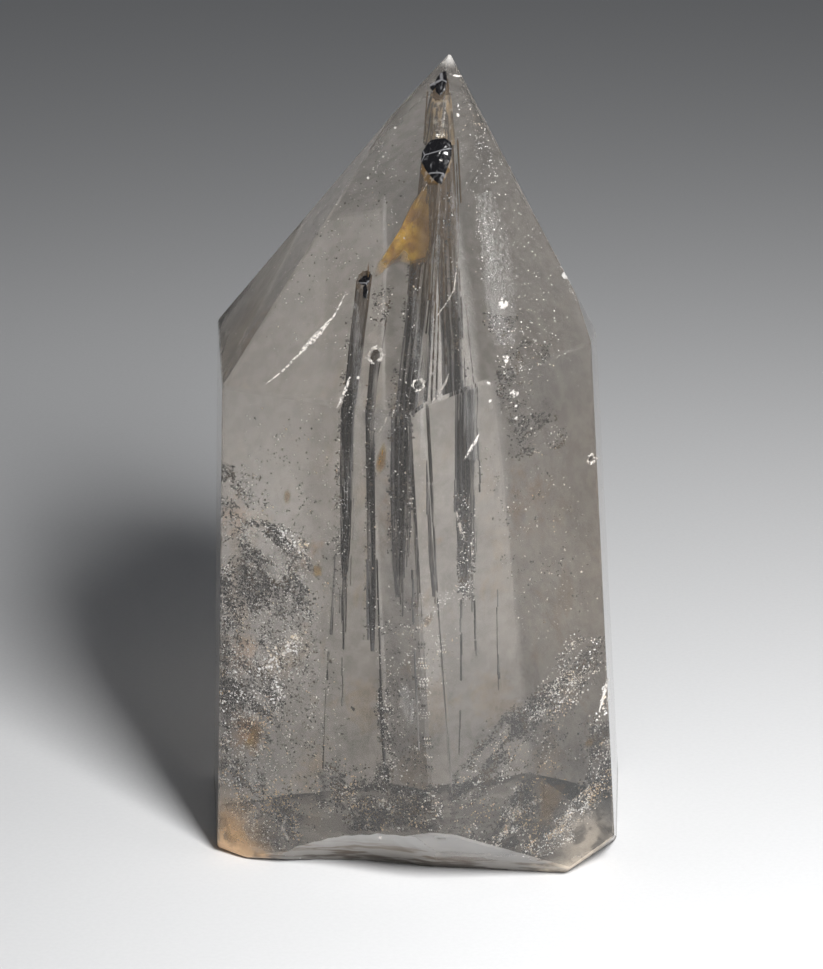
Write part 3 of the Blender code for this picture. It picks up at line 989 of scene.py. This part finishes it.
# Light catchers: tiny pits and dust in the polished faces, thickest on the right of the tip.
# They stand in the surface itself, so they show as sharp white points under any light.
# area: its spine (across, down, half width), how many flecks, and their sizes in millimetres
FLECKS = {
    "tip right": (((470, 130, 14), (500, 210, 30), (520, 300, 36), (540, 380, 40)), 620, (0.05, 0.19)),
    "tip right edge": (((462, 100, 8), (482, 140, 8), (500, 180, 8)), 110, (0.06, 0.20)),
    "high cluster": (((484, 218, 10), (490, 250, 14), (500, 290, 12)), 140, (0.06, 0.20)),
    "tip left": (((420, 120, 14), (380, 200, 34), (330, 290, 44), (290, 380, 44)), 190, (0.04, 0.15)),
    "left face": (((280, 450, 50), (280, 560, 55), (280, 700, 55), (280, 800, 50)), 260, (0.04, 0.15)),
    "right face": (((540, 480, 50), (540, 600, 50), (540, 740, 50)), 240, (0.04, 0.15)),
    "strip": (((420, 460, 10), (425, 600, 12), (430, 780, 12)), 90, (0.04, 0.15)),
    "rods": (((350, 380, 12), (345, 480, 14), (372, 420, 12), (400, 400, 20)), 150, (0.05, 0.18)),
    "right outline": (((556, 258, 2), (566, 280, 3), (577, 300, 2)), 50, (0.05, 0.18)),
    "left cloud": (((250, 530, 14), (275, 560, 30), (268, 605, 46), (262, 640, 44)), 380, (0.07, 0.30)),
    "left cloud low": (((250, 660, 36), (245, 705, 34), (240, 745, 28)), 380, (0.08, 0.42)),
    "left gleam": (((300, 636, 6), (286, 650, 9), (268, 664, 8)), 90, (0.12, 0.60)),
    "left gleam low": (((262, 664, 8), (272, 680, 10), (280, 700, 6)), 70, (0.10, 0.50)),
    "left scales": (((281, 531, 4), (292, 541, 8), (306, 552, 6)), 80, (0.10, 0.50)),
    "left foot": (((228, 768, 12), (250, 805, 20), (285, 845, 22)), 260, (0.07, 0.28)),
    "right band": (((535, 710, 12), (562, 690, 16), (580, 662, 20), (588, 650, 16)), 240, (0.07, 0.30)),
    "right foot": (((530, 852, 10), (556, 832, 16), (580, 805, 16), (606, 775, 10)), 280, (0.07, 0.28)),
    "right gleam": (((608, 678, 3), (605, 698, 5), (600, 718, 4)), 80, (0.10, 0.50)),
    "low veil": (
        ((468, 584, 2), (452, 591, 5), (442, 600, 6), (433, 611, 6), (427, 622, 3)),
        120, (0.06, 0.20),
    ),
    "low veil foot": (((430, 626, 3), (415, 632, 7), (402, 636, 6), (396, 632, 3)), 60, (0.06, 0.20)),
    "bundle": (((464, 495, 6), (468, 545, 8), (466, 598, 7)), 90, (0.07, 0.24)),
    "left rod": (((344, 480, 5), (341, 545, 6)), 60, (0.07, 0.22)),
    "right high grains": (
        ((492, 322, 10), (520, 334, 16), (515, 378, 20), (530, 425, 18)),
        90, (0.07, 0.24),
    ),
    "ledge": (((436, 136, 1.5), (446, 135, 2.0)), 30, (0.08, 0.26)),
}
FLECKS_ROUND_THE_BACK = 420
FLECK_LIFT, FLECK_THICKNESS = 0.01 * MM, 0.04 * MM
bpy.ops.mesh.primitive_uv_sphere_add(segments=5, ring_count=3, radius=0.5)
SCALE = pattern(bpy.context.object)


def on_face(across, down, lift):
    """A place on the polished stone under a pixel, raised a little, with the facet's direction."""
    place, outward, _ = meets(across, down)
    return (None, None) if place is None else (place + outward * lift, outward)


rng = np.random.default_rng(41)
places, frames = [], []


def fleck(place, outward, size):
    """Lays one flat fleck on the stone, turned at random."""
    if place is None:
        return
    turn = rng.uniform(0, math.tau)
    aside = outward.orthogonal().normalized()
    over = outward.cross(aside)
    first = aside * math.cos(turn) + over * math.sin(turn)
    second = outward.cross(first)
    places.append(place)
    columns = [first * size, second * size * rng.uniform(0.35, 1.0), outward * FLECK_THICKNESS]
    frames.append(np.stack(columns, axis=1))


for spine, count, (low, high) in FLECKS.values():
    spine = np.array(spine, float)
    for _ in range(count):
        at = rng.uniform(0, len(spine) - 1)
        across, down, half = pixel_at(spine, range(len(spine)), at)
        across += rng.uniform(-1, 1) * half
        down += rng.uniform(-1, 1) * half
        fleck(*on_face(across, down, FLECK_LIFT), (low + (high - low) * rng.uniform() ** 2) * MM)
for _ in range(FLECKS_ROUND_THE_BACK):
    turn, level = rng.uniform(-0.2, math.pi + 0.2), rng.uniform(2, 96) * MM
    toward = Vector((math.cos(turn), math.sin(turn), 0))
    place, outward, _, _ = polished.ray_cast(toward + Vector((0, 0, level)), -toward)
    fleck(place, outward, rng.uniform(0.05, 0.22) * MM)
fleck_finish = Finish("bruise_white")
dust = fleck_finish.grain(0.3 * MM, detail=2.0)
rusted = fleck_finish.grain(5 * MM, detail=4.0, rough=0.7).between(0.52, 0.62) * 0.8
dust_tint = fleck_finish.blend(dust.between(0.4, 0.65), (0.74, 0.73, 0.72), (0.42, 0.40, 0.38))
fleck_finish.feed(
    Base_Color=fleck_finish.blend(rusted, dust_tint, (0.58, 0.47, 0.34)),
    Roughness=0.35 + dust * 0.3,
)
strew("surface_flecks", SCALE, places, frames, fleck_finish)


# Bruises: small white spots in the polish where the quartz is crushed, soft at their rims.
# The brightest stand in a row down the right of the tip. One lies on the broken end of the ridge.
# bruise: pixel and radius in pixels
BRUISES = {
    "high": (503, 304, 6.0), "second": (506, 359, 4.5), "third": (514, 393, 4.5), "fourth": (516, 406, 1.8),
    "fifth": (516, 418, 2.2), "beside": (488, 383, 2.5), "beside_low": (490, 401, 2.2),
    "gleam": (284, 653, 3.5), "crack": (318, 335, 2.7), "tip_dot": (458, 115, 2.0),
    "end_spot": (441, 160, 1.7), "spark": (400, 533, 1.4), "left_spark": (329, 551, 2.5),
    "pit_spark": (358, 378, 2.0), "foot_ledge": (380, 838, 2.2), "film_foot": (404, 238, 1.2),
    "low_left": (272, 666, 2.5), "right_edge": (597, 458, 2.0), "left_high": (395, 128, 1.7),
    "left_high_low": (368, 178, 1.8), "scales": (303, 550, 2.0), "lower_right": (572, 683, 2.0),
}
BRUISE_CORNERS = 16
BRUISE_RAGGEDNESS = 0.9
BRUISE_DEPTH = -0.02
END_SPOT_DEPTH = -0.13


def flat_patch(name, centre, outline, rings, spokes):
    """A round mesh whose corners carry pixels of an outlined patch of the picture; returns it and them."""
    bpy.ops.mesh.primitive_circle_add(vertices=spokes, radius=1, fill_type="NGON")
    patch = bpy.context.object
    patch.name = name
    bpy.ops.object.mode_set(mode="EDIT")
    bpy.ops.mesh.select_all(action="SELECT")
    for _ in range(rings):
        bpy.ops.mesh.inset(thickness=1 / (rings + 1))
    bpy.ops.mesh.poke()
    bpy.ops.object.mode_set(mode="OBJECT")
    middle = np.array(centre, float)
    starts = np.array(outline, float) - middle
    sides = np.roll(starts, -1, axis=0) - starts
    pixels = []
    for vertex in patch.data.vertices:
        share = math.hypot(vertex.co.x, vertex.co.y)
        ray = np.array([vertex.co.x, -vertex.co.y]) / max(share, 1e-9)
        slant = ray[0] * sides[:, 1] - ray[1] * sides[:, 0]
        slant = np.where(np.abs(slant) < 1e-9, 1e-9, slant)
        reach = (starts[:, 0] * sides[:, 1] - starts[:, 1] * sides[:, 0]) / slant
        along = (starts[:, 0] * ray[1] - starts[:, 1] * ray[0]) / slant
        met = reach[(reach > 0) & (along > -1e-6) & (along < 1 + 1e-6)]
        across, down = middle + ray * share * (met.min() if len(met) else 0.0)
        pixels.append((across, down, share))
    return patch, pixels


bruises = []
for seed, (name, (across, down, reach)) in enumerate(BRUISES.items()):
    outline = []
    for step in range(BRUISE_CORNERS):
        turn = step / BRUISE_CORNERS * math.tau
        lump = noise.noise(Vector((math.cos(turn) * 2.2, math.sin(turn) * 2.2, seed * 3.1)))
        ragged = reach * (1 + BRUISE_RAGGEDNESS * lump)
        outline.append((across + math.cos(turn) * ragged, down + math.sin(turn) * ragged))
    patch, pixels = flat_patch("bruise_" + name, (across, down), outline, rings=4, spokes=24)
    depth = END_SPOT_DEPTH if name == "end_spot" else BRUISE_DEPTH
    fade = []
    for vertex, (pixel_across, pixel_down, share) in zip(patch.data.vertices, pixels):
        vertex.co = within(pixel_across, pixel_down, depth * MM)
        fade.append(max(1 - share, 0.0) ** 0.6)
    mark(patch.data, "fade", fade)
    thicken(patch, FILM_THICKNESS)
    film.wear_it(patch)
    bruises.append(patch)
as_one("surface_bruises", bruises)


# The broken ends of the rods where the polish cut them: black, glassy and split, just proud of the face.
# Each follows the outline that it shows on the stone and reaches down onto its rod.
SHARD_SIZE = 10 / 3 * MM
STAND_PROUD = 0.08
# end: its middle and outline in pixels, and how far it reaches down in millimetres
STUBS = {
    "tip": ((440, 84), ((446, 70), (447, 80), (445, 90), (440, 96), (436, 92), (435, 82), (439, 74)), 0.9),
    "tip_small": ((433, 86), ((435, 82), (436, 87), (433, 91), (430, 88), (430, 84)), 0.5),
    "ridge": (
        (438, 160),
        ((430, 140), (445, 138), (452, 143), (451, 158), (446, 172), (441, 186), (434, 180), (427, 172),
         (421, 162), (422, 152)),
        1.2,
    ),
    "left": ((365, 280), ((371, 274), (369, 282), (366, 286), (360, 284), (358, 281), (363, 276)), 0.7),
    "left_foot": ((365, 292), ((366, 284), (368, 291), (366, 299), (363, 297), (363, 287)), 0.5),
}
broken_black = Finish("broken_tourmaline")
splits = broken_black.grain(0.7 * MM, detail=3.0, scale=(1.0, 1.0, 0.35), twist=0.6)
shard_inputs = {"Vector": broken_black.place(), "Scale": 1 / SHARD_SIZE}
shards = broken_black.node("ShaderNodeTexVoronoi", {"feature": "DISTANCE_TO_EDGE"}, shard_inputs)
# painted highlights: grey glints on the split faces; the pale seams mark the splits between shards
gleam = splits.between(0.60, 0.68) * 0.6
seams = shards.between(0.035, 0.010) * 0.8
broken_black.feed(
    Base_Color=broken_black.blend(gleam.maths("MAXIMUM", seams), (0.006, 0.006, 0.007), (0.16, 0.16, 0.17)),
    Roughness=0.18 + splits.between(0.4, 0.7) * 0.25,
    Normal=broken_black.bump(0.5, 0.06 * MM, splits - seams * 0.3),
)
for name, (centre, outline, thick) in STUBS.items():
    head, pixels = flat_patch("tourmaline_end_" + name, centre, outline, rings=6, spokes=40)
    for vertex, (across, down, share) in zip(head.data.vertices, pixels):
        lump = noise.cell(Vector((across / 11, down / 17, 3))) * 0.05
        lump += noise.noise(Vector((across / 9, down / 14, 1))) * 0.03
        rim = share > 0.95
        vertex.co, _ = on_face(across, down, (0.0 if rim else STAND_PROUD + lump) * MM)
    thicken(head, thick * MM, offset=-1.0)
    on_all(head, bpy.ops.mesh.normals_make_consistent, inside=False)
    broken_black.wear_it(head)
    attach(head, "root")


# The brown sheath: iron and fine fibres packed round the long rod where it nears the tip.
# It fills the quartz between the two broken ends, streaked along the rod.
SHEATH_TOP, SHEATH_FOOT = Vector((2.85, -1.9, 95.2)) * MM, Vector((2.70, -2.2, 88.6)) * MM
SHEATH_COVER = 0.15 * MM
bpy.ops.mesh.primitive_cylinder_add(vertices=36, radius=1, depth=1, end_fill_type="TRIFAN")
sheath = bpy.context.object
sheath.name = "brown_sheath"
on_all(sheath, bpy.ops.mesh.subdivide, number_cuts=5)
for vertex in sheath.data.vertices:
    share = vertex.co.z + 0.5
    turn = math.atan2(vertex.co.y, vertex.co.x)
    reach = math.hypot(vertex.co.x, vertex.co.y) * (1.50 - 0.30 * share ** 2)
    reach *= 1 + 0.16 * noise.noise(Vector((math.cos(turn) * 2.6, math.sin(turn) * 2.6, share * 1.5)))
    place = SHEATH_FOOT.lerp(SHEATH_TOP, share) + Vector((math.cos(turn), math.sin(turn), 0)) * reach * MM
    near, out, _, _ = polished.find_nearest(place)
    if (place - near).dot(out) > -SHEATH_COVER:
        place = near - out * SHEATH_COVER
    vertex.co = place
on_all(sheath, bpy.ops.mesh.normals_make_consistent, inside=False)
brown = Finish("brown_sheath")
streaks = brown.grain(0.42 * MM, detail=4.0, scale=(1.0, 1.0, 0.07))
blots = brown.grain(1.4 * MM, detail=4.0, rough=0.7)
sheath_tint = brown.blend(streaks.between(0.42, 0.56), (0.075, 0.062, 0.050), (0.27, 0.20, 0.12))
sheath_tint = brown.blend(blots.between(0.52, 0.66) * 0.6, sheath_tint, (0.50, 0.46, 0.40))
brown.feed(
    Base_Color=sheath_tint,
    Roughness=0.35 + blots * 0.3,
    Normal=brown.bump(0.5, 0.1 * MM, streaks),
)
brown.wear_it(sheath)
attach(sheath, "root")


# The golden films: iron stain dried in thin splits beside the rods, strongest under the ridge's broken end.
# Each lies a little below the polished face and fades where the split closes.
# film: its middle and outline in pixels, depth in millimetres, and how strong its colour is
FILMS = {
    "under_ridge_end": (
        (412, 235),
        ((427, 180), (430, 205), (431, 240), (428, 262), (414, 268), (400, 263), (388, 267), (376, 279),
         (371, 282), (374, 268), (386, 251), (400, 228), (411, 204)),
        0.4, 1.0,
    ),
    "left_foot": (
        (236, 834),
        ((217, 798), (228, 808), (242, 815), (250, 836), (262, 856), (240, 860), (222, 852)),
        0.5, 0.45,
    ),
    "right_foot": (
        (548, 800),
        ((538, 776), (552, 784), (568, 782), (562, 804), (552, 824), (536, 830), (540, 806)),
        1.5, 0.45,
    ),
    "beside_front_rod": (
        (381, 460), ((384, 440), (387, 452), (386, 468), (380, 475), (375, 470), (377, 455)), 1.2, 0.75,
    ),
    "left_spot": (
        (287, 496), ((288, 488), (292, 494), (290, 503), (286, 506), (283, 500), (284, 491)), 0.8, 0.45,
    ),
    "left_patch": ((317, 571), ((314, 563), (323, 566), (323, 576), (316, 579), (311, 572)), 1.5, 0.45),
    "veil_foot": ((428, 620), ((433, 610), (434, 618), (428, 628), (423, 628), (424, 618)), 1.5, 0.45),
    "right_spot": ((589, 742), ((590, 736), (596, 740), (593, 747), (586, 748), (583, 743)), 0.6, 0.45),
    "left_low_patch": (
        (254, 737),
        ((262, 722), (264, 732), (259, 738), (257, 749), (245, 752), (240, 744), (249, 738), (251, 727)),
        0.6, 0.45,
    ),
}
GOLD_THICKNESS = 0.04 * MM
DARK_GOLD, BRIGHT_GOLD = (0.27, 0.13, 0.002), (0.54, 0.325, 0.02)
RODWARD_BROWN, RUN_BROWN = (0.10, 0.046, 0.002), (0.10, 0.055, 0.015)
# the ridge film has a sharp rim that turns soft from one row of pixels on, and one thin spot
SHARP_RIM, SOFT_RIM, FAINT_RIM = 12, 1.5, 1.6
SOFT_FROM, SOFT_WITHIN = 240, 24
THIN_ACROSS, THIN_DOWN, THIN_WIDTH, THIN_HEIGHT = 404, 256, 5, 7
gold = Finish("iron_film")
drift = gold.grain(1.8 * MM, detail=4.0, rough=0.6)
runs = gold.grain(0.5 * MM, detail=3.0, scale=(1.0, 1.0, 0.2))
gold_tint = gold.blend(drift.between(0.36, 0.66), DARK_GOLD, BRIGHT_GOLD)
rodward = gold.rightward().between(-1.5 * MM, 0.9 * MM)
gold_tint = gold.blend(rodward * 0.85, gold_tint, RODWARD_BROWN)
edge_fade = gold.marked("fade")
gold.feed(
    Base_Color=gold.blend(runs.between(0.58, 0.68) * 0.5, gold_tint, RUN_BROWN),
    Roughness=0.4 + drift * 0.2,
    Alpha=edge_fade * (0.88 + drift.between(0.35, 0.60) * 0.10),
)
for name, (centre, outline, depth, strength) in FILMS.items():
    patch, pixels = flat_patch("golden_film_" + name, centre, outline, rings=9, spokes=72)
    fade = []
    for vertex, (across, down, share) in zip(patch.data.vertices, pixels):
        wave = noise.noise(Vector((across / 9, down / 9, 2))) * 0.25
        vertex.co = within(across, down, (depth + wave) * MM)
        aside, below = (across - THIN_ACROSS) / THIN_WIDTH, (down - THIN_DOWN) / THIN_HEIGHT
        thinned = strength * (1.0 - 0.8 * math.exp(-aside ** 2 - below ** 2))
        soft = min(1.0, max(0.0, (down - SOFT_FROM) / SOFT_WITHIN))
        sharpness = SHARP_RIM - (SHARP_RIM - SOFT_RIM) * soft if name == "under_ridge_end" else FAINT_RIM
        fade.append(min(1.0, max(1.0 - share, 0.0) * sharpness) * thinned)
    mark(patch.data, "fade", fade)
    thicken(patch, GOLD_THICKNESS)
    gold.wear_it(patch)
    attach(patch, "root")


# Ringed pits: small round bruises in the polish, dark crumbs in a broken white ring.
# The smallest have crumbs alone.
# pit: its pixel, its radius and the thickness of its ring in millimetres
PITS = {
    "over_front_rod": (375, 355, 0.88, 0.42), "over_left_bundle": (418, 385, 0.66, 0.30),
    "right_edge": (591, 459, 0.45, 0.30), "low_left": (330, 662, 0.30, 0.12),
    "low_right": (545, 622, 0.30, 0.16), "low_middle": (353, 709, 0.26, 0.16),
}
CRUMBS_IN_A_PIT = 7
CRUMB_SIZES = (0.25 * MM, 0.50 * MM)
SMALLEST_RING = 0.4
RING_STRENGTH = 0.9
rng = np.random.default_rng(51)
crumb_places = []
for name, (across, down, radius, wall) in PITS.items():
    place, outward = on_face(across, down, -0.06 * MM)
    turn_to = outward.to_track_quat("Z", "Y")
    for _ in range(CRUMBS_IN_A_PIT):
        away = Vector((rng.normal(), rng.normal(), 0)) * radius * 0.28 * MM
        crumb_places.append(place - outward * 0.1 * MM + turn_to @ away)
    if radius < SMALLEST_RING:
        continue
    bpy.ops.mesh.primitive_torus_add(
        major_segments=40, minor_segments=8, major_radius=radius * MM, minor_radius=wall * 0.5 * MM
    )
    ring = bpy.context.object
    ring.name = "pit_ring_" + name
    for vertex in ring.data.vertices:
        lump = noise.noise(vertex.co / (0.35 * MM) + Vector((across, down, 0)))
        middle = Vector((vertex.co.x, vertex.co.y, 0)).normalized() * radius * MM
        around = vertex.co - middle
        swell = 0.85 + 1.7 * lump
        vertex.co = place + turn_to @ (middle * (1 + 0.30 * lump) + around * max(swell, 0.10))
    mark(ring.data, "fade", [RING_STRENGTH] * len(ring.data.vertices))
    film.wear_it(ring)
    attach(ring, "root")
crumb_frames = tumbled(rng, len(crumb_places), *CRUMB_SIZES)
strew("pit_crumbs", GRAIN, crumb_places, crumb_frames, grit)


# The paper that the stone stands on, and the light: one soft window lamp close by on the right.
# Little else lights it, so the shadow behind stays deep.
bpy.ops.mesh.primitive_plane_add(size=3.0, location=(0, 0, 0))
paper = bpy.context.object
paper.name = "paper"
sheet = Finish("paper")
tooth = sheet.grain(0.6 * MM, detail=3.0)
sheet.feed(
    Base_Color=sheet.blend(tooth.between(0.3, 0.7), (0.745, 0.755, 0.775), (0.765, 0.775, 0.795)),
    Roughness=0.9,
    Normal=sheet.bump(0.1, 0.05 * MM, tooth),
)
sheet.wear_it(paper)

room = bpy.data.worlds.new("room")
bpy.context.scene.world = room
room.use_nodes = True
sky = room.node_tree.nodes["Background"]
sky.inputs["Color"].default_value = (0.92, 0.95, 1.0, 1.0)
sky.inputs["Strength"].default_value = 0.075

LAMP_PLACE = Vector((0.100, -0.235, 0.240))
LAMP_AIM = Vector((0.05, 0.22, 0.0))
lamp = bpy.data.lights.new("window_lamp", "AREA")
lamp.shape = "SQUARE"
lamp.size = 0.10
lamp.energy = 1.25
lamp.color = (1.0, 0.99, 0.97)
lamp.spread = math.radians(140)
window = bpy.data.objects.new("window_lamp", lamp)
window.location = LAMP_PLACE
window.rotation_euler = (LAMP_AIM - LAMP_PLACE).to_track_quat("-Z", "Y").to_euler()
bpy.context.scene.collection.objects.link(window)
bpy.context.scene.view_settings.view_transform = "Standard"
